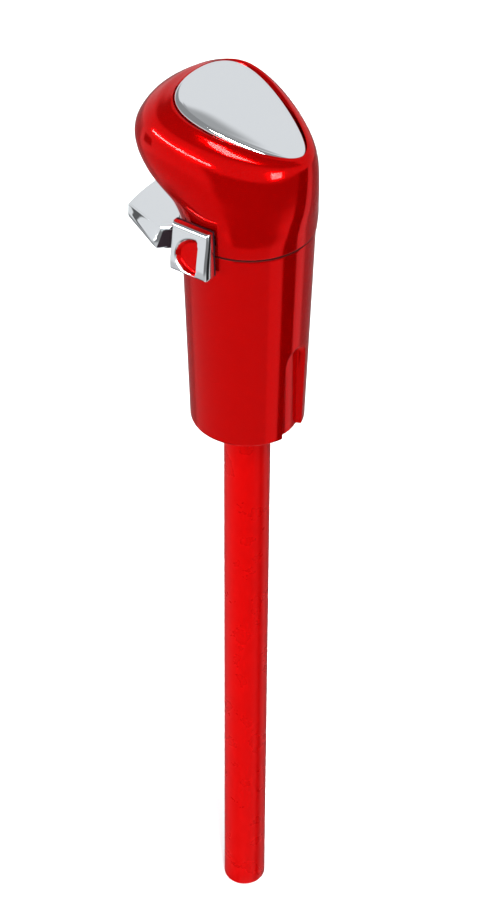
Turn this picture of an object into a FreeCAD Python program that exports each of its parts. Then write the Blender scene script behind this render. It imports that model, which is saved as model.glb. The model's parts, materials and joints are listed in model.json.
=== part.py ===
"""Truck gear shift lever: a lever tube with an air-valve shift knob on its top end.

Frame: origin at the centre of the tube's lower end, +Z up the lever, +X towards the front of the knob
(the range lever side) and +Y to its left (the splitter button side). All sizes are in millimetres.
"""
import FreeCAD, Part
import math
import os

import Sketcher
from FreeCAD import Placement, Rotation, Vector

DOCUMENT = FreeCAD.newDocument("gear_shift_lever")
SHEET = DOCUMENT.addObject("Spreadsheet::Sheet", "dims")
FINISHED = []
ALONG_X = Rotation(Vector(0, 1, 0), 90)
ALONG_Y = Rotation(Vector(1, 0, 0), -90)

DRIVING = {
    # lever tube with its lower thread and upper stud
    "tube_radius": 9.525, "tube_bore": 7.0, "tube_top": 306.0, "tap_radius": 5.36, "tap_depth": 30.0,
    "stud_radius": 6.3, "stud_bottom": 280.0, "stud_top": 350.0, "nut_bottom": 316.0, "nut_height": 7.9,
    "nut_flats": 19.05, "edge_break": 0.8,
    # lower skirt
    "skirt_bottom": 278.5, "seam": 369.4, "skirt_low_radius": 23.05, "skirt_high_radius": 25.7,
    "skirt_wall": 2.4, "channel_half": 6.2, "channel_turn": -1.5, "channel_floor": 20.75, "channel_spring": 314.3,
    "lug_bottom": 320.5, "lug_inner": 16.5, "skirt_screw_circle": 18.6,
    # upper housing
    "head_wall": 2.6, "rim_height": 413.8, "rim_tilt": 21.4, "recess_depth": 2.4, "boss_radius": 3.6,
    "boss_x": -5.0, "boss_y": 8.0,
    # medallion
    "medallion_centre": 4.0, "medallion_reach": 27.4, "medallion_skew": 3.2, "medallion_half": 20.3,
    "medallion_lean": 2.6, "medallion_thick": 6.3, "medallion_gap": 0.5,
    # valve body
    "body_radius": 20.4, "body_bottom": 326.0, "body_top": 388.0, "body_bore": 6.35, "bore_top": 354.0,
    "port_circle": 15.2, "port_radius": 3.0, "port_depth": 9.0,
    # range lever: a paddle that slides up and down
    "range_travel": 8.0, "range_axis": 13.5, "range_bore": 4.0, "range_rod": 3.95, "paddle_top": 370.0,
    "paddle_tip": 46.3, "paddle_shell": 1.2, "stem_half": 7.0, "stem_low": 361.8, "stem_high": 367.6,
    # splitter: a button that slides fore and aft
    "splitter_travel": 6.0, "splitter_axis": 11.0, "splitter_height": 375.0, "splitter_bore": 3.0,
    "splitter_rod": 2.95, "button_front": 13.0, "button_rear": -3.8, "button_low": 361.5,
    "button_high": 381.4, "button_back": 27.4, "button_face": 31.3, "button_lean": 2.0,
    "neck_front": 8.5, "neck_rear": 3.5, "neck_half": 2.6,
    # shared small sizes
    "slot_gap": 0.4, "screw_radius": 1.5, "screw_head": 2.8, "screw_hole": 1.55, "ball_radius": 1.6,
    "detent_bore": 1.7, "spring_wire": 0.35,
}

# head sections from the seam up: height at the axis, slope, front, rear, half width, width skew, point
HEAD = [
    (369.4, 0.00, 26.1, 26.1, 26.1, 0.0, 0.0),
    (375.7, 0.04, 26.6, 26.5, 26.4, 0.0, 0.0),
    (382.8, 0.11, 31.8, 27.1, 27.1, 0.4, 0.4),
    (389.9, 0.18, 42.2, 27.7, 29.0, 1.0, 0.9),
    (398.0, 0.23, 44.0, 28.0, 30.3, 2.0, 1.5),
    (406.3, 0.27, 39.3, 27.8, 29.8, 2.6, 2.0),
    (412.3, 0.29, 33.2, 26.9, 27.4, 3.1, 2.5),
    (415.1, 0.32, 28.2, 25.2, 24.5, 3.3, 2.8),
    (416.5, 0.36, 24.8, 23.6, 21.8, 3.5, 3.0),
]
COLUMNS = ("height", "slope", "front", "rear", "half", "skew", "point")


def fill_sheet():
    """Gives every driving dimension its own aliased cell."""
    cells = dict(DRIVING)
    for level, row in enumerate(HEAD, start=1):
        for column, number in zip(COLUMNS, row):
            cells[f"head_{column}_{level}"] = number
    for row, (alias, number) in enumerate(cells.items(), start=1):
        SHEET.set(f"A{row}", alias)
        SHEET.set(f"B{row}", str(number))
        SHEET.setAlias(f"B{row}", alias)
    DOCUMENT.recompute()


def size(alias):
    """A driving dimension as a plain number."""
    return float(SHEET.get(alias))


def spelled(formula):
    """A formula of spaced words with each driving dimension named in the sheet."""
    return " ".join("dims." + word if word in DRIVING else word for word in str(formula).split())


def bind(thing, **formulas):
    """Binds properties to formulas; a double underscore stands for a dot in the property's name."""
    for name, formula in formulas.items():
        thing.setExpression(name.replace("__", "."), spelled(formula))
    return thing


def finish(thing, label):
    """Labels one finished sub-part."""
    thing.Label = label
    FINISHED.append(thing)
    return thing


def primitive(kind, name, at, turn, **formulas):
    """A Part primitive whose sizes and place follow the sheet."""
    thing = DOCUMENT.addObject("Part::" + kind, name)
    thing.Placement = Placement(Vector(0, 0, 0), turn or Rotation())
    bind(thing, **formulas)
    for axis, formula in zip("xyz", at):
        thing.setExpression("Placement.Base." + axis, spelled(formula))
    return thing


def rod(name, radius, height, at=("0", "0", "0"), turn=None):
    return primitive("Cylinder", name, at, turn, Radius=radius, Height=height)


def box(name, length, width, height, at):
    return primitive("Box", name, at, None, Length=length, Width=width, Height=height)


def cut(name, base, *tools):
    """The base with one tool, or the union of several, taken away."""
    thing = DOCUMENT.addObject("Part::Cut", name)
    thing.Base = base
    thing.Tool = tools[0] if len(tools) == 1 else fuse(name + "_tools", *tools)
    return thing


def fuse(name, *things):
    thing = DOCUMENT.addObject("Part::MultiFuse", name)
    thing.Shapes = list(things)
    return thing


def common(name, *things):
    thing = DOCUMENT.addObject("Part::MultiCommon", name)
    thing.Shapes = list(things)
    return thing




def shaped(name, shape):
    """A shape made directly from Part functions."""
    thing = DOCUMENT.addObject("Part::Feature", name)
    thing.Shape = shape
    return thing


def turned(name, outline):
    """A PartDesign body turned about the lever's axis from (radius, height) formulas."""
    body = DOCUMENT.addObject("PartDesign::Body", name)
    sketch = body.newObject("Sketcher::SketchObject", name + "_outline")
    plane = next(f for f in body.Origin.OriginFeatures if f.Role == "XZ_Plane")
    sketch.AttachmentSupport = [(plane, "")]
    sketch.MapMode = "FlatFace"
    corners = [Vector(size(r) if r in DRIVING else float(r), size(z) if z in DRIVING else float(z), 0)
               for r, z in outline]
    count = len(corners)
    for i in range(count):
        sketch.addGeometry(Part.LineSegment(corners[i], corners[(i + 1) % count]), False)
    for i in range(count):
        sketch.addConstraint(Sketcher.Constraint("Coincident", i, 2, (i + 1) % count, 1))
    for i, (radius, height) in enumerate(outline):
        for kind, formula, number, axis in (("DistanceX", radius, corners[i].x, -2),
                                            ("DistanceY", height, corners[i].y, -1)):
            if number == 0:
                sketch.addConstraint(Sketcher.Constraint("PointOnObject", i, 1, axis))
                continue
            index = sketch.addConstraint(Sketcher.Constraint(kind, -1, 1, i, 1, number))
            sketch.setExpression(f"Constraints[{index}]", spelled(formula))
    solid = body.newObject("PartDesign::Revolution", name + "_turned")
    solid.Profile = sketch
    solid.ReferenceAxis = (sketch, ["V_Axis"])
    solid.Angle = 360
    return body, solid


def hexagon(name, flats, height, at):
    thing = DOCUMENT.addObject("Part::Prism", name)
    thing.Polygon = 6
    bind(thing, Circumradius=f"{flats} / 1.7320508", Height=height)
    for axis, formula in zip("xyz", at):
        thing.setExpression("Placement.Base." + axis, spelled(formula))
    return thing


def coil(name, radius, turns, length, at, turn):
    """A wound spring along its own axis."""
    wire = size("spring_wire")
    path = Part.makeHelix(length / turns, length, radius)
    ring = Part.Wire([Part.makeCircle(wire, Vector(radius, 0, 0), Vector(0, 1, 0))])
    shape = Part.Wire(path.Edges).makePipeShell([ring], True, True)
    thing = shaped(name, shape)
    thing.Placement = Placement(Vector(*at), turn)
    return thing


# ---------------------------------------------------------------- lever tube

def make_lever():
    body, solid = turned("lever_tube", [
        ("tube_bore", "0"), ("tube_radius", "0"), ("tube_radius", "tube_top"), ("tube_bore", "tube_top")])
    rounding = body.newObject("PartDesign::Chamfer", "lever_tube_ends")
    ends = [f"Edge{i + 1}" for i, edge in enumerate(solid_edges(solid))
            if abs(edge.BoundBox.XMax - size("tube_radius")) < 0.01 and edge.BoundBox.ZLength < 0.01]
    rounding.Base = (solid, ends)
    bind(rounding, Size="edge_break")
    finish(body, "lever_tube")
    insert = rod("insert_blank", "tube_bore", "tap_depth + 2", ("0", "0", "0"))
    bore = rod("insert_bore", "tap_radius", "tap_depth", ("0", "0", "0"))
    finish(cut("lower_thread_insert", insert, bore), "lower_thread_insert")
    stud = rod("stud_shaft", "stud_radius", "stud_top - stud_bottom", ("0", "0", "stud_bottom"))
    collar = rod("stud_collar", "tube_bore", "tube_top - stud_bottom - 1", ("0", "0", "stud_bottom"))
    shoulder = rod("stud_shoulder", "tube_radius - 0.8", "3", ("0", "0", "tube_top"))
    finish(fuse("upper_stud", stud, collar, shoulder), "upper_stud")
    blank = hexagon("nut_blank", "nut_flats", "nut_height", ("0", "0", "nut_bottom"))
    hole = rod("nut_hole", "stud_radius", "nut_height + 2", ("0", "0", "nut_bottom - 1"))
    finish(cut("jam_nut", blank, hole), "jam_nut")


def solid_edges(solid):
    DOCUMENT.recompute()
    return solid.Shape.Edges


# ---------------------------------------------------------------- skirt

def make_skirt():
    outer = primitive("Cone", "skirt_outer", ("0", "0", "skirt_bottom"), None, Radius1="skirt_low_radius",
                      Radius2="skirt_high_radius", Height="seam - skirt_bottom")
    inner = primitive("Cone", "skirt_inner", ("0", "0", "skirt_bottom"), None,
                      Radius1="skirt_low_radius - skirt_wall", Radius2="skirt_high_radius - skirt_wall",
                      Height="seam - skirt_bottom")
    wall = cut("skirt_wall_ring", outer, inner)
    backing = box("channel_backing", "7.5", "2 * channel_half + 4", "channel_spring - skirt_bottom + 10",
                  ("-1 * skirt_high_radius", "-1 * channel_half - 2", "skirt_bottom"))
    room = rod("channel_room", "channel_floor - 1.8", "60", ("0", "0", "skirt_bottom - 5"))
    rib_blank = cut("channel_rib_blank", backing, room)
    rib = common("channel_rib", rib_blank, outer)
    lug_box = box("lug_block", "11", "2 * skirt_high_radius", "body_bottom - lug_bottom - 0.5",
                  ("-5.5", "-1 * skirt_high_radius", "lug_bottom"))
    lug_room = box("lug_room", "13", "2 * lug_inner", "12", ("-6.5", "-1 * lug_inner", "lug_bottom - 2"))
    lugs = common("skirt_lugs", cut("lug_pair", lug_box, lug_room), outer)
    whole = fuse("skirt_blank", wall, rib, lugs)
    floor = rod("channel_core", "channel_floor", "60", ("0", "0", "skirt_bottom - 5"))
    straight = box("channel_straight", "12", "2 * channel_half", "channel_spring - skirt_bottom + 1",
                   ("-30", "-1 * channel_half", "skirt_bottom - 1"))
    arch = rod("channel_arch", "channel_half", "12", ("-30", "0", "channel_spring"), ALONG_X)
    channel = cut("rear_channel", fuse("channel_shape", straight, arch), floor)
    for piece in (channel, rib_blank):
        piece.Placement = Placement(Vector(0, 0, 0), Rotation(Vector(0, 0, 1), size("channel_turn")))
    stem = box("skirt_stem_slot", "12", "2 * stem_half + 2 * slot_gap", "12",
               ("18", "-1 * stem_half - slot_gap", "stem_low - slot_gap"))
    holes = [rod(f"lug_hole_{i}", "screw_hole", "8", ("0", f"{side} * skirt_screw_circle", "lug_bottom - 1"))
             for i, side in enumerate((1, -1))]
    finish(cut("lower_skirt", whole, channel, stem, *holes), "lower_skirt")


# ---------------------------------------------------------------- head

def oval(level, inset, points=40):
    """A closed rounded-triangle curve on its own sloping plane, pulled in by the inset."""
    height, slope, front, rear, half, skew, point = (size(f"head_{c}_{level}") for c in COLUMNS)
    reach = (front + rear) / 2 - inset
    middle = (front - rear) / 2 + point
    ring = []
    for i in range(points):
        turn = 2 * math.pi * i / points
        x = middle + reach * math.cos(turn) - point * math.cos(2 * turn)
        y = (half - inset) * math.sin(turn) + skew * math.sin(2 * turn)
        ring.append(Vector(x, y, height + slope * x))
    curve = Part.BSplineCurve()
    curve.interpolate(ring, PeriodicFlag=True)
    return Part.Wire([curve.toShape()])


def make_loft(name, wires):
    sections = [shaped(f"{name}_section_{i}", wire) for i, wire in enumerate(wires, start=1)]
    loft = DOCUMENT.addObject("Part::Loft", name)
    loft.Sections = sections
    loft.Solid = True
    loft.Ruled = False
    return loft


def medallion_ring(grow, points=40):
    """The badge's outline on a level plane, grown outwards by a margin."""
    ring = []
    for i in range(points):
        turn = 2 * math.pi * i / points
        x = (size("medallion_reach") + grow) * math.cos(turn) - size("medallion_skew") * math.cos(2 * turn)
        y = (size("medallion_half") + grow) * math.sin(turn) + size("medallion_lean") * math.sin(2 * turn)
        ring.append(Vector(x, y, 0))
    curve = Part.BSplineCurve()
    curve.interpolate(ring, PeriodicFlag=True)
    return Part.Wire([curve.toShape()])


def on_rim(thing, lift):
    """Places a level shape on the sloping rim of the head."""
    tilt = Rotation(Vector(0, 1, 0), -size("rim_tilt"))
    centre = size("medallion_centre")
    base = Vector(centre, 0, size("rim_height") + centre * math.tan(math.radians(size("rim_tilt"))))
    thing.Placement = Placement(base + tilt.multVec(Vector(0, 0, lift)), tilt)
    return thing


def make_head():
    levels = range(1, len(HEAD) + 1)
    outer = make_loft("head_outer", [oval(level, 0.0) for level in levels])
    inner = make_loft("head_inner", [oval(level, size("head_wall")) for level in list(levels)[:6]])
    shell = cut("head_shell", outer, inner)
    bosses = [rod(f"boss_{i}", "boss_radius", "28", ("boss_x", f"{side} * boss_y", "body_top"))
              for i, side in enumerate((1, -1))]
    posts = common("head_posts", fuse("head_post_pair", *bosses), outer)
    whole = fuse("head_blank", shell, posts)
    recess = Part.Face(medallion_ring(size("medallion_gap"))).extrude(Vector(0, 0, 20))
    recess = on_rim(shaped("badge_recess", recess), -size("recess_depth"))
    sockets = [rod(f"head_socket_{i}", "screw_head + 0.2", "30", ("boss_x", f"{side} * boss_y", "402"))
               for i, side in enumerate((1, -1))]
    through = [rod(f"head_hole_{i}", "screw_hole", "20", ("boss_x", f"{side} * boss_y", "body_top - 1"))
               for i, side in enumerate((1, -1))]
    range_slot = box("head_stem_slot", "20", "2 * stem_half + 2 * slot_gap",
                     "stem_high + range_travel + slot_gap - seam + 1",
                     ("16", "-1 * stem_half - slot_gap", "seam - 1"))
    pocket = shaped("paddle_pocket", paddle_prism(0.5, size("seam") - 1, size("paddle_top") + 8.6))
    side_slot = box("head_neck_slot", "neck_front - neck_rear + splitter_travel + 2 * slot_gap", "12",
                    "2 * neck_half + 2 * slot_gap", ("neck_rear - splitter_travel - slot_gap", "18",
                                                     "splitter_height - neck_half - slot_gap"))
    finish(cut("upper_housing", whole, recess, *sockets, *through, range_slot, pocket, side_slot),
           "upper_housing")


def make_medallion():
    thick = size("medallion_thick")
    plate = Part.Face(medallion_ring(0.0)).extrude(Vector(0, 0, thick))
    dome = Part.makeSphere(230.0, Vector(0, 0, thick - 230.2))
    plate = plate.common(dome)
    rim = [edge for edge in plate.Edges if edge.BoundBox.ZMin > thick * 0.3 and edge.Length > 60]
    plate = plate.makeFillet(1.3, rim)
    posts = [Part.makeCylinder(1.1, 0.45, Vector(x, y, -0.45)) for x, y in ((11, 10), (11, -10), (-15, 0))]
    finish(on_rim(shaped("top_medallion", plate.fuse(posts).removeSplitter()), -1.9), "top_medallion")
    pad = Part.Face(medallion_ring(-1.5)).extrude(Vector(0, 0, 0.4))
    for x, y in ((11, 10), (11, -10), (-15, 0)):
        pad = pad.cut(Part.makeCylinder(1.15, 2, Vector(x, y, -0.5)))
    finish(on_rim(shaped("medallion_pad", pad), -2.35), "medallion_pad")


# ---------------------------------------------------------------- range lever

def paddle_plan(grow, corner):
    """The paddle seen from above: two rear corners, tapering sides and a gently curved tip."""
    tip = size("paddle_tip") + grow
    left = [Vector(17.5, 17.5 + max(grow, 0) * 1.4, 0), Vector(*corner, 0),
            Vector(44.6 + grow, 16.8 + grow, 0)]
    right = [Vector(v.x, -v.y, 0) for v in reversed(left)]
    edges = [Part.makeLine(left[0], left[1]), Part.makeLine(left[1], left[2]),
             Part.Arc(left[2], Vector(tip, 0, 0), right[0]).toShape(),
             Part.makeLine(right[0], right[1]), Part.makeLine(right[1], right[2]),
             Part.makeLine(right[2], left[0])]
    return Part.Face(Part.Wire(edges))


def paddle_prism(grow, low, high, corner=None):
    """A straight-sided block over the paddle's plan, kept clear of the neck."""
    plan = paddle_plan(grow, corner or (24.3, 23.2 + grow * 1.3))
    plan.translate(Vector(0, 0, low))
    block = plan.extrude(Vector(0, 0, high - low))
    return block.cut(Part.makeCylinder(26.55 - max(grow, 0), 80, Vector(0, 0, 320)))


def make_range_lever():
    top = size("paddle_top")
    plans = [paddle_plan(0.0, (26.2, 25.2)), paddle_plan(0.0, (24.3, 23.2))]
    for plan, height in zip(plans, (top - 9.4, top)):
        plan.translate(Vector(0, 0, height))
    outer = Part.makeLoft([plan.OuterWire for plan in plans], True, True)
    outer = outer.cut(Part.makeCylinder(26.55, 80, Vector(0, 0, 320)))
    under = Part.makeBox(60, 80, 20, Vector(0, -40, -20))
    under.rotate(Vector(0, 0, 0), Vector(0, 1, 0), -10)
    under.translate(Vector(25, 0, top - 9.4))
    outer = outer.cut(under)
    shell = size("paddle_shell")
    room = paddle_prism(-shell, top - 40, top - shell, (23.1, 22.2))
    finish(shaped("range_lever_shell", outer.cut(room)), "range_lever_shell")
    under.translate(Vector(0, 0, 0.7))
    core = outer.common(room).cut(under)
    stem_high = size("stem_high")
    stem_low = size("stem_low")
    stem = Part.makeBox(24, 2 * size("stem_half"), stem_high - stem_low,
                        Vector(size("range_axis"), -size("stem_half"), stem_low))
    stem = stem.cut(Part.makeCylinder(2.6, 40, Vector(size("range_axis"), 0, stem_low - 10)))
    finish(shaped("range_lever_core", core.fuse(stem).removeSplitter()), "range_lever_core")
    axis = size("range_axis")
    low = Part.makeCylinder(size("range_rod"), 28.2, Vector(axis, 0, 333.2))
    pin = Part.makeCylinder(2.55, 8, Vector(axis, 0, 360.5))
    high = Part.makeCylinder(size("range_rod"), 8, Vector(axis, 0, stem_high + 0.1))
    spool = low.fuse([pin, high])
    for height in SEAL_HEIGHTS:
        spool = spool.cut(groove(axis, height, 3.2, 1.6))
    spool = spool.cut(groove(axis, 337.0, 2.6, 12.5))
    finish(shaped("range_spool", spool), "range_spool")
    rings = [ring_at(axis, height) for height in SEAL_HEIGHTS]
    finish(shaped("range_spool_seals", Part.Compound(rings)), "range_spool_seals")


SEAL_HEIGHTS = (334.6, 354.0, 371.0)


def groove(axis, height, radius, length):
    tube = Part.makeCylinder(6, length, Vector(axis, 0, height))
    return tube.cut(Part.makeCylinder(radius, length, Vector(axis, 0, height)))


def ring_at(axis, height):
    """A square-sectioned seal ring in a groove of the spool."""
    tube = Part.makeCylinder(size("range_rod"), 1.4, Vector(axis, 0, height + 0.1))
    return tube.cut(Part.makeCylinder(3.2, 1.4, Vector(axis, 0, height + 0.1)))


# ---------------------------------------------------------------- splitter button

def make_splitter():
    rear, front = size("button_rear"), size("button_front")
    low, high = size("button_low"), size("button_high")
    face, lean, back = size("button_face"), size("button_lean"), size("button_back")
    side = [Vector(rear, back, low), Vector(rear, face + lean, low), Vector(rear, face + lean, low + 3.5),
            Vector(rear, face, high), Vector(rear, back, high)]
    block = Part.Face(Part.makePolygon(side + side[:1])).extrude(Vector(front - rear, 0, 0))
    upright = [e for e in block.Edges if e.BoundBox.ZLength > 3 and e.BoundBox.YMin > back + 1]
    block = block.makeFillet(1.4, upright)
    scoop = Part.makeCylinder(14.0, 11.0, Vector(rear + 3.0, 0, 0), Vector(1, 0, 0))
    scoop.translate(Vector(0, face + 14.0 - 1.6 + 0.7, high - 9.6))
    block = block.cut(scoop)
    finish(shaped("splitter_button", block.removeSplitter()), "splitter_button")
    neck_low = size("splitter_height") - size("neck_half")
    neck = Part.makeBox(size("neck_front") - size("neck_rear"), back - size("splitter_axis"),
                        2 * size("neck_half"), Vector(size("neck_rear"), size("splitter_axis"), neck_low))
    centre = Vector(0, size("splitter_axis"), size("splitter_height"))
    radius = size("splitter_rod")
    spool = Part.makeCylinder(radius, 21, centre + Vector(-8, 0, 0), Vector(1, 0, 0))
    for start in (-6.6, 10.2):
        spool = spool.cut(cross_ring(centre, start, 2.3, 1.6, 5))
    finish(shaped("splitter_spool", spool.fuse(neck).removeSplitter()), "splitter_spool")
    rings = [cross_ring(centre, start + 0.1, 2.3, 1.4, radius) for start in (-6.6, 10.2)]
    finish(shaped("splitter_spool_seals", Part.Compound(rings)), "splitter_spool_seals")


def cross_ring(centre, start, inner, length, outer):
    """A ring about the splitter's axis."""
    base = centre + Vector(start, 0, 0)
    along = Vector(1, 0, 0)
    return Part.makeCylinder(outer, length, base, along).cut(Part.makeCylinder(inner, length, base, along))


# ---------------------------------------------------------------- valve body and what it holds

def make_valve():
    blank = rod("valve_blank", "body_radius", "body_top - body_bottom", ("0", "0", "body_bottom"))
    bore = rod("valve_thread_bore", "body_bore", "bore_top - body_bottom", ("0", "0", "body_bottom"))
    spool = rod("valve_range_bore", "range_bore", "body_top - 332", ("range_axis", "0", "332"))
    slot = box("valve_stem_slot", "12", "2 * stem_half + 2 * slot_gap",
               "stem_high - stem_low + range_travel + 2 * slot_gap",
               ("range_axis - 0.6", "-1 * stem_half - slot_gap", "stem_low - slot_gap"))
    cross = rod("valve_cross_bore", "splitter_bore", "50", ("-25", "splitter_axis", "splitter_height"), ALONG_X)
    side = box("valve_neck_slot", "neck_front - neck_rear + splitter_travel + 2 * slot_gap", "14",
               "2 * neck_half + 2 * slot_gap", ("neck_rear - splitter_travel - slot_gap",
                                                "splitter_axis", "splitter_height - neck_half - slot_gap"))
    tools = [bore, spool, slot, cross, side]
    for i, angle in enumerate((45, 135, 225, 315)):
        along = (f"port_circle * cos({angle} deg)", f"port_circle * sin({angle} deg)", "body_bottom")
        tools.append(rod(f"valve_port_{i}", "port_radius", "port_depth", along))
    for i, side_sign in enumerate((1, -1)):
        tools.append(rod(f"valve_top_tap_{i}", "screw_hole", "9", ("boss_x", f"{side_sign} * boss_y",
                                                                  "body_top - 8.5")))
        tools.append(rod(f"valve_low_tap_{i}", "screw_hole", "8", ("0", f"{side_sign} * skirt_screw_circle",
                                                                  "body_bottom")))
    tools.append(rod("valve_detent_bore", "detent_bore", "16", ("range_axis", "-17", "347"), ALONG_Y))
    tools.append(rod("valve_splitter_detent", "detent_bore", "10", ("-5.5", "splitter_axis - 9",
                                                                   "splitter_height"), ALONG_Y))
    finish(cut("valve_body", blank, *tools), "valve_body")


def make_valve_fittings():
    axis = size("range_axis")
    plug = Part.makeCylinder(size("range_bore"), 2.4, Vector(axis, 0, 385.4))
    finish(shaped("range_bore_plug", plug), "range_bore_plug")
    bore = Part.makeCylinder(size("splitter_bore"), 60, Vector(-30, 11, 375), Vector(1, 0, 0))
    keep = Part.makeCylinder(size("body_radius") - 0.1, 30, Vector(0, 0, 360))
    ends = bore.common(keep)
    front = ends.common(Part.makeBox(4, 20, 20, Vector(14.0, 0, 365)))
    rear = ends.common(Part.makeBox(6, 20, 20, Vector(-20.3, 0, 365)))
    finish(shaped("splitter_bore_plugs", Part.Compound([front, rear])), "splitter_bore_plugs")
    ball = size("ball_radius")
    sphere = Part.makeSphere(ball, Vector(axis, -4.6, 347))
    finish(shaped("range_detent_ball", sphere), "range_detent_ball")
    wound = coil("range_detent_spring", 1.15, 5, 5.0, (axis, -6.6, 347), Rotation(Vector(1, 0, 0), 90))
    finish(wound, "range_detent_spring")
    screw = Part.makeCylinder(size("detent_bore"), 3.0, Vector(axis, -15.2, 347), Vector(0, 1, 0))
    finish(shaped("range_detent_plug", screw), "range_detent_plug")
    gasket = Part.makeCylinder(19.4, 1.0, Vector(0, 0, 388.05))
    gasket = gasket.cut(Part.makeCylinder(14.8, 3, Vector(0, 0, 387)))
    gasket = gasket.cut(Part.makeCylinder(4.4, 3, Vector(axis, 0, 387)))
    finish(shaped("valve_top_gasket", gasket), "valve_top_gasket")


def make_air_fittings():
    """Four push-in elbows' straight barrels below the valve body, each with its collar."""
    barrels = []
    collars = []
    for i, angle in enumerate((45, 135, 225, 315)):
        x = size("port_circle") * math.cos(math.radians(angle))
        y = size("port_circle") * math.sin(math.radians(angle))
        barrel = Part.makeCylinder(2.95, 13, Vector(x, y, 321))
        nut = Part.makeCylinder(4.1, 5.0, Vector(x, y, 320.95))
        body = barrel.fuse(nut).cut(Part.makeCylinder(1.6, 20, Vector(x, y, 315)))
        barrels.append(body.removeSplitter())
        collar = Part.makeCylinder(3.1, 2.2, Vector(x, y, 318.6)).fuse(
            Part.makeCylinder(3.7, 0.8, Vector(x, y, 318.0)))
        collars.append(collar.cut(Part.makeCylinder(1.6, 20, Vector(x, y, 310))).removeSplitter())
    finish(shaped("air_fittings", Part.Compound(barrels)), "air_fittings")
    finish(shaped("fitting_release_collars", Part.Compound(collars)), "fitting_release_collars")


def make_screws():
    spots = [(size("boss_x"), side * size("boss_y")) for side in (1, -1)]
    long_screws = []
    for x, y in spots:
        shank = Part.makeCylinder(size("screw_radius"), 22.2, Vector(x, y, 379.8))
        head = Part.makeCylinder(size("screw_head"), 2.6, Vector(x, y, 402))
        drive = Part.makeCylinder(1.3, 1.6, Vector(x, y, 403.1))
        long_screws.append(shank.fuse(head).cut(drive).removeSplitter())
    finish(shaped("housing_screws", Part.Compound(long_screws)), "housing_screws")
    short_screws = []
    for side in (1, -1):
        y = side * size("skirt_screw_circle")
        shank = Part.makeCylinder(size("screw_radius"), 12.6, Vector(0, y, 320.5))
        head = Part.makeCylinder(2.4, 2.0, Vector(0, y, 318.5))
        drive = Part.makeCylinder(1.2, 1.2, Vector(0, y, 318.5))
        short_screws.append(shank.fuse(head).cut(drive).removeSplitter())
    finish(shaped("skirt_screws", Part.Compound(short_screws)), "skirt_screws")


def make_seals():
    """The button's sliding dust shield and the felt ring that vents the valve."""
    shield = Part.makeBox(15.0, 0.4, 9.6, Vector(-2.9, 27.0, 369.2))
    shield = shield.cut(Part.makeBox(5.2, 3, 5.4, Vector(3.4, 26, 372.3)))
    finish(shaped("button_dust_seal", shield), "button_dust_seal")
    ring = Part.makeCylinder(18.0, 3.0, Vector(0, 0, 310.2)).cut(
        Part.makeCylinder(9.0, 4, Vector(0, 0, 310)))
    ring = ring.cut(Part.makeCylinder(30, 5, Vector(0, 0, 309)).cut(Part.makeCylinder(17, 5, Vector(0, 0, 309))))
    finish(shaped("exhaust_filter", ring), "exhaust_filter")


def check_and_export():
    """Checks every object and writes one STEP file for each sub-part."""
    DOCUMENT.recompute()
    for thing in DOCUMENT.Objects:
        if "Invalid" in thing.State or "Error" in thing.State:
            raise RuntimeError(f"{thing.Label} is in state {thing.State}")
    os.makedirs("parts", exist_ok=True)
    for thing in FINISHED:
        if thing.Shape.isNull() or not thing.Shape.isValid():
            raise RuntimeError(f"{thing.Label} has no valid shape")
        thing.Shape.exportStep(f"parts/{thing.Label}.step")
        bounds = thing.Shape.BoundBox
        print(f"{thing.Label:26s} {thing.Shape.Volume:10.1f} mm3 {len(thing.Shape.Solids)} solids "
              f"Z {bounds.ZMin:.1f} to {bounds.ZMax:.1f}")


fill_sheet()
make_lever()
make_skirt()
make_head()
make_medallion()
make_range_lever()
make_splitter()
make_valve()
make_valve_fittings()
make_air_fittings()
make_screws()
make_seals()
check_and_export()
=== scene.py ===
"""Gear shift lever on a pale studio floor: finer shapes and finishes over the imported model.

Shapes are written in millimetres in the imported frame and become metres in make_piece.
"""
import bpy
import json
import math
from mathutils import Matrix, Vector


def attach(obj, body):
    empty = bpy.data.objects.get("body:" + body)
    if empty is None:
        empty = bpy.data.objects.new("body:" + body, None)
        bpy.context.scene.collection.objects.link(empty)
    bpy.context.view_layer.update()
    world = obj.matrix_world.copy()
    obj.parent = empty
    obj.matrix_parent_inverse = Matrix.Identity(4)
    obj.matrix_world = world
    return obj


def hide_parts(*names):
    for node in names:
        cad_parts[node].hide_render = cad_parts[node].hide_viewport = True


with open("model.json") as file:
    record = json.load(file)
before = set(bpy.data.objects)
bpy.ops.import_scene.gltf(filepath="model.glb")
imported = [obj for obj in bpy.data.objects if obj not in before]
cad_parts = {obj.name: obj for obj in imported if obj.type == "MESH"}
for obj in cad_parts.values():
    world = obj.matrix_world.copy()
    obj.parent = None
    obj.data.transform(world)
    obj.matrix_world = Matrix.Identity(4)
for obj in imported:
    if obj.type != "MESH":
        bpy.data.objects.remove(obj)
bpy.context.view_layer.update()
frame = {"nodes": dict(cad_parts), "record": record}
NODES = frame["nodes"]
MM = 0.001

TUBE_RADIUS = 9.525
TUBE_BORE = 7.0
TUBE_TOP = 306.0
SKIRT_LOW = 278.5
SKIRT_TOP = 369.2
SKIRT_RADIUS = 23.05  # at the lower edge
SKIRT_GROWTH = 2.65 / 90.9  # radius gained per millimetre of height
SKIRT_BORE = 20.55
SHOULDER_RADIUS = 24.0  # inner edge of the skirt's top face
CHANNEL_TURN = math.radians(1.5)
CHANNEL_HALF = 6.45
CHANNEL_SPRING = 314.3  # where the channel's arched top begins
CHANNEL_ARCH = math.sqrt(38.4)  # radius of the arched top
CHANNEL_FLOOR = 20.75
NECK_RADIUS = 26.6  # the paddle's rear arc round the housing
PADDLE_TOP = 369.2
PADDLE_LOW = 360.6
BUTTON_FACE = 33.3
BUTTON_ROUND = 1.3


# ---------------------------------------------------------------- finishes

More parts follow.
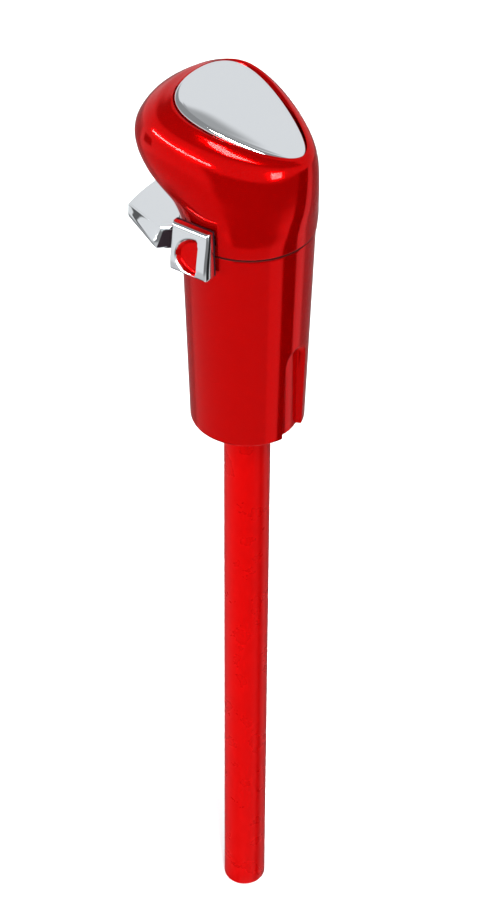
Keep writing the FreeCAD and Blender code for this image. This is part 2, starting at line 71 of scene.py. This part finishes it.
def finish_material(name, colour, metallic, rough, grain, bump, coat=0.0, tint=0.06, coat_rough=0.03,
                    edge=(1.0, 1.0, 1.0), shine=0.5):
    """A procedural finish: faint colour drift, uneven gloss and fine bumps."""
    material = bpy.data.materials.new(name)
    material.use_nodes = True
    tree = material.node_tree
    shader = tree.nodes["Principled BSDF"]
    shader.inputs["Metallic"].default_value = metallic
    shader.inputs["Coat Weight"].default_value = coat
    shader.inputs["Coat Roughness"].default_value = coat_rough
    shader.inputs["IOR"].default_value = 1.5
    shader.inputs["Coat IOR"].default_value = 1.17
    shader.inputs["Specular IOR Level"].default_value = shine
    shader.inputs["Specular Tint"].default_value = (*edge, 1)
    place = tree.nodes.new("ShaderNodeTexCoord")
    drift = tree.nodes.new("ShaderNodeTexNoise")
    drift.inputs["Scale"].default_value = 22.0
    drift.inputs["Detail"].default_value = 4.0
    fine = tree.nodes.new("ShaderNodeTexNoise")
    fine.inputs["Scale"].default_value = grain
    fine.inputs["Detail"].default_value = 3.0
    wear = tree.nodes.new("ShaderNodeTexNoise")
    wear.inputs["Scale"].default_value = 90.0
    wear.inputs["Detail"].default_value = 8.0
    for texture in (drift, fine, wear):
        tree.links.new(place.outputs["Object"], texture.inputs["Vector"])
    mix = tree.nodes.new("ShaderNodeMix")
    mix.data_type = "RGBA"
    mix.inputs["A"].default_value = (*[c * (1 - tint) for c in colour], 1)
    mix.inputs["B"].default_value = (*[min(1, c * (1 + tint)) for c in colour], 1)
    tree.links.new(drift.outputs["Fac"], mix.inputs["Factor"])
    tree.links.new(mix.outputs["Result"], shader.inputs["Base Color"])
    gloss = tree.nodes.new("ShaderNodeMapRange")
    gloss.inputs["From Min"].default_value = 0.35
    gloss.inputs["From Max"].default_value = 0.75
    gloss.inputs["To Min"].default_value = rough * 0.85
    gloss.inputs["To Max"].default_value = rough * 1.25 + 0.01
    tree.links.new(wear.outputs["Fac"], gloss.inputs["Value"])
    tree.links.new(gloss.outputs["Result"], shader.inputs["Roughness"])
    raised = tree.nodes.new("ShaderNodeBump")
    raised.inputs["Strength"].default_value = bump
    raised.inputs["Distance"].default_value = 0.0002
    tree.links.new(fine.outputs["Fac"], raised.inputs["Height"])
    tree.links.new(raised.outputs["Normal"], shader.inputs["Normal"])
    return material


RED = finish_material("red_gloss", (0.50, 0.0, 0.0), 0.84, 0.11, 160.0, 0.01, coat=0.7, tint=0.03,
                      edge=(0.9, 0.05, 0.04), shine=0.1)
RED_TUBE = finish_material("red_enamel", (0.35, 0.0, 0.0), 0.45, 0.30, 160.0, 0.004, coat=0.3, tint=0.05,
                           coat_rough=0.18, edge=(0.9, 0.05, 0.04), shine=0.1)
CHROME = finish_material("bright_chrome", (0.80, 0.82, 0.84), 1.0, 0.045, 120.0, 0.01, tint=0.02)
BLACK = finish_material("black_moulding", (0.010, 0.006, 0.009), 0.0, 0.42, 1500.0, 0.15, tint=0.2,
                        shine=0.12)
# painted shade: a near-black red laid on the faces at the seam between head and skirt, where shade falls
SEAM_SHADOW = finish_material("seam_shadow", (0.02, 0.0, 0.0), 0.0, 0.7, 800.0, 0.1, tint=0.2, shine=0.1)
STEEL = finish_material("zinc_steel", (0.56, 0.57, 0.60), 1.0, 0.3, 700.0, 0.1)
ALLOY = finish_material("valve_alloy", (0.62, 0.63, 0.65), 1.0, 0.38, 500.0, 0.12)
BRASS = finish_material("brass_fitting", (0.66, 0.49, 0.22), 1.0, 0.28, 500.0, 0.08)
RUBBER = finish_material("seal_rubber", (0.02, 0.02, 0.02), 0.0, 0.6, 900.0, 0.2, tint=0.2)
FELT = finish_material("vent_felt", (0.16, 0.16, 0.15), 0.0, 0.9, 1800.0, 0.6, tint=0.25)
BY_SLOT = {"red_lacquer": RED_TUBE, "red_gloss_shell": RED, "bright_chrome": CHROME,
           "black_moulding": BLACK, "zinc_steel": STEEL, "valve_alloy": ALLOY, "brass_fitting": BRASS,
           "seal_rubber": RUBBER, "vent_felt": FELT}


def dress_nodes():
    """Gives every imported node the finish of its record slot."""
    for part in frame["record"]["subparts"]:
        node = NODES[part["node"]]
        node.data.materials.clear()
        node.data.materials.append(BY_SLOT[part["material_slot"]])


# ---------------------------------------------------------------- mesh helpers

def make_piece(name, rows, faces, materials, body, nodes, marks=None):
    """A smooth-shaded mesh piece from points in millimetres that rides on a body and stands for nodes."""
    mesh = bpy.data.meshes.new(name)
    mesh.from_pydata([[c * MM for c in p] for p in rows], [], faces)
    for material in materials:
        mesh.materials.append(material)
    for index, polygon in enumerate(mesh.polygons):
        polygon.use_smooth = True
        if marks:
            polygon.material_index = marks[index]
    mesh.update()
    piece = bpy.data.objects.new(name, mesh)
    bpy.context.scene.collection.objects.link(piece)
    if nodes:
        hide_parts(*nodes)
    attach(piece, body)
    return piece


def ring_faces(rings, count, closed_ends=(False, False)):
    """Quads between successive closed rings, with optional end caps."""
    faces = []
    for r in range(rings - 1):
        for i in range(count):
            j = (i + 1) % count
            faces.append((r * count + i, r * count + j, (r + 1) * count + j, (r + 1) * count + i))
    if closed_ends[0]:
        faces.append(tuple(reversed(range(count))))
    if closed_ends[1]:
        faces.append(tuple((rings - 1) * count + i for i in range(count)))
    return faces


def lathe(name, profile, count, materials, body, nodes):
    """A turned piece from (radius, height) points."""
    rows = []
    for radius, height in profile:
        for i in range(count):
            turn = 2 * math.pi * i / count
            rows.append((radius * math.cos(turn), radius * math.sin(turn), height))
    return make_piece(name, rows, ring_faces(len(profile), count), materials, body, nodes)


def smooth(x):
    """An even rise from 0 to 1 as x goes from 0 to 1."""
    x = max(0.0, min(1.0, x))
    return x * x * (3 - 2 * x)


# ---------------------------------------------------------------- knob head

# height on the axis, slope, reach to the front and rear, half width, skew and point of each section
HEAD = [
    (369.55, 0.00, 26.1, 26.1, 26.1, 0.0, 0.0),
    (375.7, 0.04, 26.6, 26.5, 26.4, 0.0, 0.0),
    (382.8, 0.11, 31.8, 27.1, 27.1, 0.4, 0.4),
    (389.9, 0.18, 42.2, 27.7, 29.0, 1.0, 0.9),
    (398.0, 0.23, 44.0, 28.0, 30.3, 2.0, 1.5),
    (406.3, 0.27, 39.3, 27.8, 29.8, 2.6, 2.0),
    (412.3, 0.29, 33.2, 26.9, 27.4, 3.1, 2.5),
    (415.1, 0.32, 28.2, 25.2, 24.5, 3.3, 2.8),
    (416.5, 0.36, 24.8, 23.6, 21.8, 3.5, 3.0),
]
TILT = math.radians(21.4)


def head_level(place):
    """The section sizes at a fractional level, by a cubic through its neighbours."""
    i = min(int(place), len(HEAD) - 2)
    t = place - i
    picks = [HEAD[max(0, min(len(HEAD) - 1, i + k))] for k in (-1, 0, 1, 2)]
    sizes = []
    for a, b, c, d in zip(*picks):
        sizes.append(b + 0.5 * t * (c - a + t * (2 * a - 5 * b + 4 * c - d + t * (3 * (b - c) + d - a))))
    return sizes


def head_point(place, turn, inset=0.0):
    """A point of the head's skin at a fractional level and a turn about the axis."""
    height, slope, front, rear, half, skew, point = head_level(place)
    reach = (front + rear) / 2 - inset
    x = (front - rear) / 2 + point + reach * math.cos(turn) - point * math.cos(2 * turn)
    y = (half - inset) * math.sin(turn) + skew * math.sin(2 * turn)
    return (x, y, height + slope * x)


def badge_point(turn, grow, lift, scale=1.0):
    """A point of the badge's outline on the sloping top plane."""
    x = ((27.4 + grow) * math.cos(turn) - 3.2 * math.cos(2 * turn)) * scale
    y = ((20.3 + grow) * math.sin(turn) + 2.6 * math.sin(2 * turn)) * scale
    return (4.0 + x * math.cos(TILT) - lift * math.sin(TILT), y,
            413.8 + 4.0 * math.tan(TILT) + x * math.sin(TILT) + lift * math.cos(TILT))


def in_pocket(x, y, grow):
    """Inside the plan that the range lever's paddle sweeps."""
    y = abs(y)
    side = 23.8 - (x - 24.3) * 0.315
    rear = 18.2 + (x - 17.5) * 0.838
    return x > 16.5 and y < min(side, rear) + grow


def over_slot(corners):
    """True where the range lever's stem passes through the wall."""
    middle = [sum(axis) / len(corners) for axis in zip(*corners)]
    return len(corners) == 4 and middle[0] > 16 and abs(middle[1]) < 7.4 and middle[2] < 376.0


def make_head():
    """The upper housing's skin, from the seam over the pocket and the slot to the badge's seat."""
    count = 224
    pocket_radius = 26.05
    rows = []
    seam = ((2.6, 0.0), (0.9, -0.02), (0.35, 0.0), (0.12, 0.1))
    for inset, drop in seam:
        for i in range(count):
            turn = 2 * math.pi * i / count
            x, y, z = head_point(0.0, turn, inset)
            rows.append((x, y, z + drop))
    places = [0.06 + 7.55 * k / 90 for k in range(91)]
    for place in places:
        for i in range(count):
            x, y, z = head_point(place, 2 * math.pi * i / count)
            radius = math.hypot(x, y)
            if z < 378.7 and radius > pocket_radius and in_pocket(x, y, 0.3):
                x, y = x * pocket_radius / radius, y * pocket_radius / radius
            if 372.0 < z < 378.0 and y > 0 and -3.1 < x < 9.1:
                y = y - 2.0  # room behind the button
            rows.append((x, y, z))
    seat = ((0.35, 0.1), (0.75, 0.0), (1.0, -0.35), (1.0, -0.9), (1.0, -4.0))
    for share, lift in seat:
        for i in range(count):
            turn = 2 * math.pi * i / count
            a = Vector(head_point(places[-1], turn))
            b = Vector(badge_point(turn, 0.45, 1.5))
            p = a.lerp(b, share)
            rows.append((p.x, p.y, p.z + lift))
    rings = len(seam) + len(places) + len(seat)
    faces = ring_faces(rings, count, (False, True))
    faces = [face for face in faces if not over_slot([rows[k] for k in face])]
    # faces on the head's rolled seam edge take the painted seam shade
    marks = [1 if max(face) < len(seam) * count else 0 for face in faces]
    return make_piece("head_skin", rows, faces, [RED, SEAM_SHADOW], "base", ["upper_housing"],
                      marks)


def make_badge():
    """The crowned badge with a rolled edge."""
    count = 160
    crown_rings = 14
    rows = []
    steps = [(0.0, -1.8), (0.0, 1.0), (-0.12, 1.5), (-0.5, 2.05), (-1.1, 2.45), (-1.9, 2.72), (-2.8, 2.86)]
    for grow, lift in steps:
        rows += [badge_point(2 * math.pi * i / count, grow, lift) for i in range(count)]
    rim_grow, rim_lift = steps[-1]
    for k in range(1, crown_rings + 1):
        scale = 1 - k / (crown_rings + 1)
        lift = rim_lift + 1.5 * (1 - scale * scale)
        rows += [badge_point(2 * math.pi * i / count, rim_grow, lift, scale) for i in range(count)]
    rings = len(steps) + crown_rings
    faces = ring_faces(rings, count, (True, True))
    return make_piece("badge_skin", rows, faces, [CHROME], "base", ["top_medallion"])


# ---------------------------------------------------------------- skirt and tube

def skirt_turns():
    """One turn per degree, and quarter degrees across the channel."""
    turns = []
    for i in range(360):
        angle = 2 * math.pi * i / 360
        turns.append(angle)
        if 160 <= i < 200:
            turns += [angle + math.radians(k / 4) for k in (1, 2, 3)]
    return turns


def skirt_change(step, height):
    """How far the outer wall draws in at its lower edge and at the seam."""
    if step == 0:
        return -0.15
    if height > 369.1:
        return -0.5
    return -0.12 if height > 368.9 else 0.0


def make_skirt():
    """The tapered skirt with its blind channel at the back, open below."""
    turns = skirt_turns()
    count = len(turns)
    heights = [278.7, 279.1] + [279.1 + 0.55 * k for k in range(1, 80)]
    heights += [322.6 + (368.6 - 322.6) * k / 50 for k in range(1, 51)] + [369.0, SKIRT_TOP]
    rows = []
    lower_edge = [(278.9, -2.4), (SKIRT_LOW, -1.9), (SKIRT_LOW, -0.5)]
    for height, change in lower_edge:
        rows += [skirt_place(angle, height, change) for angle in turns]
    for step, height in enumerate(heights):
        rows += [skirt_place(angle, height, skirt_change(step, height)) for angle in turns]
    rows += [(SHOULDER_RADIUS * math.cos(a), SHOULDER_RADIUS * math.sin(a), SKIRT_TOP) for a in turns]
    inner = [(SKIRT_BORE + 2.65 * s / 10, 278.9 + 90.3 * s / 10) for s in range(11)]
    for radius, height in reversed(inner):
        rows += [wall_inside(angle, radius, height) for angle in turns]
    rings = len(lower_edge) + len(heights) + 1 + len(inner)
    faces = ring_faces(rings, count)
    last = (rings - 1) * count
    faces += [(last + i, last + (i + 1) % count, (i + 1) % count, i) for i in range(count)]
    # the top rings of the skirt's wall take the painted seam shade
    seam = len(heights) * count
    marks = [1 if seam <= k < seam + 3 * count else 0 for k in range(len(faces))]
    return make_piece("skirt_skin", rows, faces, [RED, SEAM_SHADOW], "base", ["lower_skirt"],
                      marks)


def skirt_place(angle, height, change):
    """A point of the outer wall, sunk where the channel runs and set back at the range lever's stem."""
    radius = SKIRT_RADIUS + (height - SKIRT_LOW) * SKIRT_GROWTH + change
    x, y = radius * math.cos(angle), radius * math.sin(angle)
    if x < 0:
        across_y = y * math.cos(CHANNEL_TURN) + x * math.sin(CHANNEL_TURN)
        top = CHANNEL_SPRING + math.sqrt(max(0.0, CHANNEL_ARCH ** 2 - across_y ** 2))
        across = smooth((CHANNEL_HALF - abs(across_y)) / 0.5)
        along = smooth((top + 0.3 - height) / 0.6)
        floor = min(radius, CHANNEL_FLOOR)
        radius = radius + (floor - radius) * across * along
        x, y = radius * math.cos(angle), radius * math.sin(angle)
    elif height > 361.4 and abs(y) < 7.4:
        x = x - 2.2
    return (x, y, height)


def wall_inside(angle, radius, height):
    """A point of the inner wall, kept clear of the channel's floor."""
    x, y = radius * math.cos(angle), radius * math.sin(angle)
    if x < 0 and abs(y) < 8.0 and height < 324:
        x = max(x, -math.sqrt(max(1.0, 18.95 ** 2 - y * y)))
    return (x, y, height)


def make_tube():
    """The hollow lever tube with a rounded lower end."""
    r = TUBE_RADIUS
    profile = [(TUBE_BORE, 1.0), (TUBE_BORE, 0.15), (7.2, 0.0), (r - 0.8, 0.0), (r - 0.45, 0.1),
               (r - 0.12, 0.4), (r, 0.9)]
    profile += [(r, 0.9 + 304.0 * k / 60) for k in range(1, 61)]
    profile += [(r - 0.2, 305.7), (r - 0.6, TUBE_TOP), (TUBE_BORE, TUBE_TOP)]
    return lathe("tube_skin", profile, 128, [RED_TUBE], "base", ["lever_tube"])


# ---------------------------------------------------------------- range lever

def edge_points(corner_list, parts):
    """Points spread along straight runs between corners."""
    out = []
    for (ax, ay), (bx, by), n in zip(corner_list, corner_list[1:], parts):
        out += [(ax + (bx - ax) * k / n, ay + (by - ay) * k / n) for k in range(n)]
    return out + [corner_list[-1]]


def paddle_outline():
    """Half of the paddle's plan from the neck round the corner to the middle of the tip."""
    neck = [(NECK_RADIUS * math.cos(math.radians(a)), NECK_RADIUS * math.sin(math.radians(a)))
            for a in (0, 6, 12, 18, 24, 30, 36, 41, 43.5)]
    corner = (24.3, 23.2)
    tip = (44.6, 16.8)
    side = edge_points([neck[-1], corner, tip], [4, 12])
    front = [(46.3 - 1.7 * (y / tip[1]) ** 2, y) for y in (15.5, 13, 10, 7, 4, 0)]
    return neck, side[1:], front


def make_paddle():
    """The bright paddle: a flat top, sides that flare and then turn in, and a sloping underside."""
    neck, side, front = paddle_outline()
    half = neck[1:] + side + front[:-1]
    ring = [neck[0]] + half + [front[-1]] + [(x, -y) for x, y in reversed(half)]
    centre = (35.0, 0.0)
    on_neck = NECK_RADIUS + 0.15

    def inset(amount, height):
        """The outline drawn in towards the centre, apart from its neck."""
        rows = []
        for x, y in ring:
            if math.hypot(x, y) < on_neck:
                rows.append((x, y, height))
                continue
            dx, dy = x - centre[0], y - centre[1]
            length = math.hypot(dx, dy) or 1.0
            rows.append((x - dx / length * amount, y - dy / length * amount, height))
        return rows

    def low(x):
        """The underside's height, which rises towards the tip."""
        return PADDLE_LOW + max(0.0, x - 25.0) * 0.17

    def flare(x, y, share):
        """The sides lean out towards the bottom, most at the rear corners."""
        if math.hypot(x, y) < on_neck:
            return x, y
        lean = share * 2.2 * max(0.0, min(1.0, (46.0 - x) / 20.0)) * min(1.0, abs(y) / 14.0)
        return x + lean * 0.85, y + math.copysign(lean, y)

    count = len(ring)
    rows = []
    rounding = ((0.9, 369.95), (0.35, 369.9), (0.1, 369.65), (0.0, PADDLE_TOP))
    for amount, height in rounding:
        rows += inset(amount, height)
    leans = ((0.25, 0.35), (0.5, 0.74), (0.62, 0.95), (0.67, 0.96), (0.82, 0.80), (0.96, 0.62))
    for share, lean in leans:
        rows += [(*flare(x, y, lean), PADDLE_TOP + (low(x) - PADDLE_TOP) * share) for x, y in ring]
    rows += [(*flare(x, y, 0.52), low(x)) for x, y, z in inset(0.4, 0.0)]
    rings = len(rounding) + len(leans) + 1
    faces = ring_faces(rings, count, (True, True))
    faces = [tuple(reversed(face)) for face in faces]
    shell = make_piece("paddle_skin", rows, faces, [CHROME], "range_lever",
                       ["range_lever_shell"])
    keep_edges(shell, 38)
    return shell


def make_paddle_sides():
    """The dark core where it shows in the two rear-facing sides of the paddle."""
    for sign, name in ((1, "paddle_core_left"), (-1, "paddle_core_right")):
        ax, ay = 19.45, 18.35
        nx, ny = -0.66, 0.75
        rows = []
        for out in (-0.6, 0.22, 0.3):
            trim = 0.15 if out > 0.15 else 0.0
            z0, z1 = 361.3 + trim, 368.7 - trim
            for x, y, z in ((ax, ay, z0), (25.2, 24.45, z0), (23.6, 22.6, z1), (ax, ay, z1)):
                rows.append((x + nx * out, sign * (y + ny * out), z))
        faces = ring_faces(3, 4, (True, True))
        if sign < 0:
            faces = [tuple(reversed(face)) for face in faces]
        piece = make_piece(name, rows, faces, [BLACK], "range_lever", [])
        keep_edges(piece, 30)


def keep_edges(piece, angle):
    """Sharp corners stay crisp: edges above the angle are marked sharp."""
    mesh = piece.data
    uses = {}
    for polygon in mesh.polygons:
        for key in polygon.edge_keys:
            uses.setdefault(key, []).append(polygon.normal.copy())
    for edge in mesh.edges:
        normals = uses.get(tuple(sorted(edge.vertices)), [])
        if len(normals) == 2 and normals[0].angle(normals[1], 0) > math.radians(angle):
            edge.use_edge_sharp = True


# ---------------------------------------------------------------- splitter button

def make_button():
    """The splitter button: a rounded block with a thumb scoop, whose floor takes the red finish as a
    painted reflection of the red head in the chrome.
    """
    across, up = 44, 56
    x0, x1, z0, z1 = -3.8, 13.0, 361.5, 381.4
    rows = []
    deep = []
    for j in range(up + 1):
        for i in range(across + 1):
            u, v = i / across, j / up
            x, z = x0 + (x1 - x0) * u, z0 + (z1 - z0) * v
            y = BUTTON_FACE - 2.0 * smooth((z - 364.0) / 17.0)
            edge = min(x - x0, x1 - x, z - z0, z1 - z)
            fall = 1 - min(edge, BUTTON_ROUND) / BUTTON_ROUND
            y -= BUTTON_ROUND * (1 - math.sqrt(max(0.0, 1 - fall ** 2)))
            # the thumb scoop: straight at the rear, rounded towards the front
            cx, cz = 1.6, 369.6
            dx = (x - cx) / 9.6 if x > cx else (x - cx) / 1.2
            dz = (z - cz) / 8.3
            reach = math.sqrt(dx * dx + dz * dz)
            y -= 2.0 * smooth((1.0 - reach) / 0.30) * (0.75 + 0.25 * smooth((1.0 - reach) / 0.9))
            rows.append((x, y, z))
            deep.append(reach)
    faces = []
    wide = across + 1
    for j in range(up):
        for i in range(across):
            a = j * wide + i
            faces.append((a, a + wide, a + wide + 1, a + 1))
    border = [i for i in range(wide)] + [j * wide + across for j in range(1, up + 1)]
    border += [up * wide + i for i in range(across - 1, -1, -1)] + [j * wide for j in range(up - 1, 0, -1)]
    ring_start = len(rows)
    # the scoop's floor faces take the red finish: a painted reflection of the red head in the chrome
    marks = [2 if max(deep[k] for k in face) < 0.92 else 0 for face in faces]
    for lift in (1.0, 0.0):
        for index in border:
            x, _, z = rows[index]
            rows.append((x, 26.55 + 0.85 * (z - z0) / (z1 - z0) + lift, z))
    n = len(border)
    for k in range(n):
        m = (k + 1) % n
        faces.append((border[k], border[m], ring_start + m, ring_start + k))
        marks.append(0)
    for k in range(n):
        m = (k + 1) % n
        faces.append((ring_start + k, ring_start + m, ring_start + n + m, ring_start + n + k))
        marks.append(1)
    faces.append(tuple(ring_start + n + k for k in range(n)))
    marks.append(1)
    piece = make_piece("button_skin", rows, faces, [CHROME, BLACK, RED], "splitter",
                       ["splitter_button"], marks)
    keep_edges(piece, 50)
    return piece


# ---------------------------------------------------------------- studio

def studio_cards(tree, shade):
    """Paints the soft cards of the studio round the object: pale walls, dark gaps and bright strips."""
    def math_node(kind, a, b=None, c=None):
        node = tree.nodes.new("ShaderNodeMath")
        node.operation = kind
        for slot_index, value in enumerate((a, b, c)):
            if value is None:
                continue
            if isinstance(value, (int, float)):
                node.inputs[slot_index].default_value = value
            else:
                tree.links.new(value, node.inputs[slot_index])
        return node.outputs[0]

    def ramp(value, start, end):
        node = tree.nodes.new("ShaderNodeMapRange")
        node.interpolation_type = "SMOOTHSTEP"
        node.inputs["From Min"].default_value = start
        node.inputs["From Max"].default_value = end
        tree.links.new(value, node.inputs["Value"])
        return node.outputs["Result"]

    degrees = math.degrees(1)
    place = tree.nodes.new("ShaderNodeTexCoord")
    parts = tree.nodes.new("ShaderNodeSeparateXYZ")
    tree.links.new(place.outputs["Generated"], parts.inputs[0])
    around = math_node("ARCTAN2", parts.outputs["Y"], parts.outputs["X"])
    around = math_node("MULTIPLY", around, degrees)
    rise = math_node("MULTIPLY", math_node("ARCSINE", parts.outputs["Z"]), degrees)

    def card(azimuth, half_width, elevation, half_height, soft):
        """1 inside a window of directions, falling to 0 over a soft edge."""
        turned = math_node("SUBTRACT", around, azimuth)
        turned = math_node("ABSOLUTE", math_node("WRAP", turned, 180.0, -180.0))
        side = ramp(turned, half_width + soft, half_width)
        upward = math_node("ABSOLUTE", math_node("SUBTRACT", rise, elevation))
        return math_node("MULTIPLY", side, ramp(upward, half_height + soft, half_height))

    level = math_node("SUBTRACT", 0.86, math_node("MULTIPLY", ramp(rise, 14, 34), 0.56))
    for azimuth, half_width, elevation, half_height, soft, target in CARDS:
        mask = card(azimuth, half_width, elevation, half_height, soft)
        change = math_node("SUBTRACT", target, level)
        level = math_node("MULTIPLY_ADD", mask, change, level)
    tree.links.new(level, shade.inputs["Strength"])


# azimuth, half width, elevation, half height, soft edge in degrees, and brightness
CARDS = [
    (40, 120, -42, 10, 5, 0.62),
    (150, 46, -20, 8, 9, 0.22),
    (-157, 12, -38, 26, 6, 0.02),
    (-60, 55, -40, 22, 12, 0.30),
    (-97, 55, 44, 20, 6, 0.86),
    (-105, 28, 65, 2.0, 4.5, 0.42),
    (25, 70, -60, 9, 4, 0.10),
    (70, 38, 2, 1.2, 1.0, 75.0),
    (22, 9, -18, 3, 2, 0.12),
    (20, 10, 29, 2, 1.5, 0.3),
    (140, 7, 52, 8, 3, 65.0),
    (152, 4, 2, 4, 2, 60.0),
]


def studio():
    """The painted world, the pale floor and two soft lamps."""
    world = bpy.data.worlds.new("studio")
    bpy.context.scene.world = world
    world.use_nodes = True
    shade = world.node_tree.nodes["Background"]
    shade.inputs["Color"].default_value = (0.97, 0.985, 1.0, 1)
    studio_cards(world.node_tree, shade)
    floor_mesh = bpy.data.meshes.new("floor")
    half = 60.0
    floor_mesh.from_pydata([(-half, -half, 0), (half, -half, 0), (half, half, 0), (-half, half, 0)], [],
                           [(0, 1, 2, 3)])
    floor = bpy.data.objects.new("floor", floor_mesh)
    floor.location = (0, 0, -0.0006)
    floor_mesh.materials.append(finish_material("pale_floor", (0.95, 0.95, 0.95), 0.0, 0.8, 30.0, 0.02,
                                                tint=0.004))
    bpy.context.scene.collection.objects.link(floor)
    floor.visible_glossy = False
    for name, turn, strength in (("overhead", (0.35, 0.1, 0.4), 1.2), ("beside", (-0.3, -0.5, 0.2), 0.7)):
        light = bpy.data.lights.new(name, "SUN")
        light.energy = strength
        light.angle = 1.6
        lamp = bpy.data.objects.new(name, light)
        lamp.rotation_euler = turn
        lamp.visible_glossy = False
        bpy.context.scene.collection.objects.link(lamp)


def camera():
    """Stands behind the knob's left side, looking down at the lever."""
    right = Vector((-0.819, -0.5736, 0.0))
    up = Vector((0.3635, -0.5191, 0.7735))
    forward = Vector((0.4437, -0.6335, -0.6338))
    roll = math.radians(0.42)
    r = (right * math.cos(roll) + up * math.sin(roll)).normalized()
    u = (up * math.cos(roll) - right * math.sin(roll)).normalized()
    f = forward.normalized()
    data = bpy.data.cameras.new("view")
    data.lens = 91.76
    data.sensor_width = 36.0
    data.clip_start = 0.01
    eye = bpy.data.objects.new("view", data)
    matrix = Matrix((r, u, -f)).transposed().to_4x4()
    matrix.translation = Vector((-0.4290, 0.6105, 0.8638))
    eye.matrix_world = matrix
    bpy.context.scene.collection.objects.link(eye)
    bpy.context.scene.camera = eye


dress_nodes()
make_head()
make_badge()
make_skirt()
make_tube()
make_paddle()
make_paddle_sides()
make_button()
studio()
camera()
bpy.context.scene.view_settings.view_transform = "Standard"
